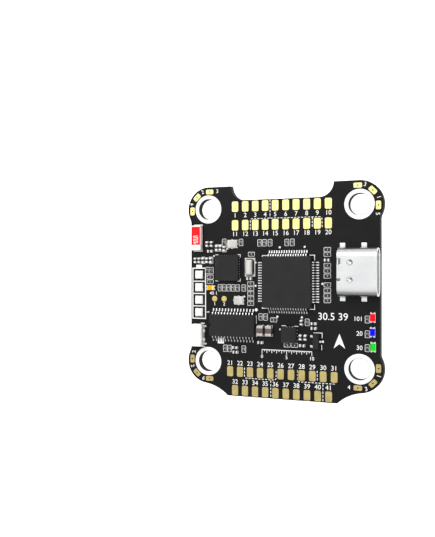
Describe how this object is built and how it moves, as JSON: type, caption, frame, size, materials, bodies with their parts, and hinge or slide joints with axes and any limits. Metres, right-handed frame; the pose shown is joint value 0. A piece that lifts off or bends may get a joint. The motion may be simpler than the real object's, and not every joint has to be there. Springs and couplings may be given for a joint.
{
  "type": "flight controller board",
  "caption": "Square drone flight controller board with corner mounting holes, edge solder pads, a USB socket, status lamps and a side push boot switch.",
  "frame": {"origin": "centre of the square pattern of four mounting holes, on the underside of the bare board", "axes": "+Z out of the component side of the board, +Y to the forward edge with the notch, +X to the edge with the USB socket"},
  "size_m": [0.0394, 0.0416, 0.0078],
  "materials": {
    "black_solder_mask": "satin black solder mask",
    "gold_plate": "immersion gold",
    "tin": "tinned, bright",
    "steel": "nickel plated steel",
    "epoxy": "moulded epoxy",
    "black_plastic": "black nylon",
    "natural_plastic": "natural nylon",
    "white_plastic": "white nylon",
    "red_ceramic": "red glaze",
    "tan_ceramic": "capacitor ceramic",
    "dark_ceramic": "resistor glaze",
    "pale_ceramic": "crystal package ceramic",
    "ferrite": "pressed iron powder",
    "lamp_white": "diffusing resin",
    "lamp_red": "tinted resin",
    "lamp_blue": "tinted resin",
    "lamp_green": "tinted resin",
    "lamp_orange": "tinted resin"
  },
  "bodies": {
    "board": {"air_pressure_sensor_base": "pale_ceramic", "air_pressure_sensor_lid": "steel", "antenna_body": "red_ceramic", "antenna_terminals": "tin", "battery_lamp_bases": "white_plastic", "battery_lamp_lenses": "lamp_white", "boot_switch_back_plate": "steel", "boot_switch_housing": "white_plastic", "boot_switch_snap_spring": "steel", "boot_switch_terminals": "tin", "buck_converter_bodies": "epoxy", "buck_converter_leads": "tin", "bulk_capacitor_bodies": "tan_ceramic", "bulk_capacitor_terminals": "tin", "card_socket_base": "black_plastic", "card_socket_contacts": "gold_plate", "card_socket_cover": "steel", "chip_capacitor_bodies": "tan_ceramic", "chip_resistor_bodies": "dark_ceramic", "chip_terminals": "tin", "crystal_bases": "pale_ceramic", "crystal_lids": "steel", "inductor_bodies": "ferrite", "inductor_terminals": "tin", "input_diode_body": "epoxy", "input_diode_terminals": "tin", "lamp_terminals": "tin", "large_capacitor_bodies": "tan_ceramic", "large_capacitor_terminals": "tin", "led_strip_pads": "gold_plate", "main_processor_body": "epoxy", "main_processor_leads": "tin", "motion_sensor_chip": "epoxy", "motor_link_socket_housing": "natural_plastic", "motor_link_socket_pins": "tin", "overlay_chip_body": "epoxy", "overlay_chip_leads": "tin", "pcb": "black_solder_mask", "regulator_body": "epoxy", "regulator_leads": "tin", "socket_anchor_tabs": "tin", "solder_pads_forward": "gold_plate", "solder_pads_rear": "gold_plate", "solder_pads_underside": "gold_plate", "status_lamp_blue": "lamp_blue", "status_lamp_green": "lamp_green", "status_lamp_orange": "lamp_orange", "status_lamp_red": "lamp_red", "test_pads": "gold_plate", "underside_chip_bodies": "tan_ceramic", "usb_c_contacts": "gold_plate", "usb_c_leg_solder": "tin", "usb_c_rear_insulator": "black_plastic", "usb_c_shell": "steel", "usb_c_tongue": "black_plastic", "video_socket_housing": "natural_plastic", "video_socket_pins": "tin", "wireless_chip_body": "epoxy", "wireless_chip_leadframe": "tin"},
    "boot_button": {"boot_switch_plunger": "white_plastic"}
  },
  "joints": [
    {"name": "boot_button_press", "type": "slide", "parent": "board", "child": "boot_button", "axis": [1, 0, 0], "range_m": [0, 0.00025], "stiffness_N_per_m": 1500, "deforming": ["boot_switch_snap_spring"]}
  ]
}
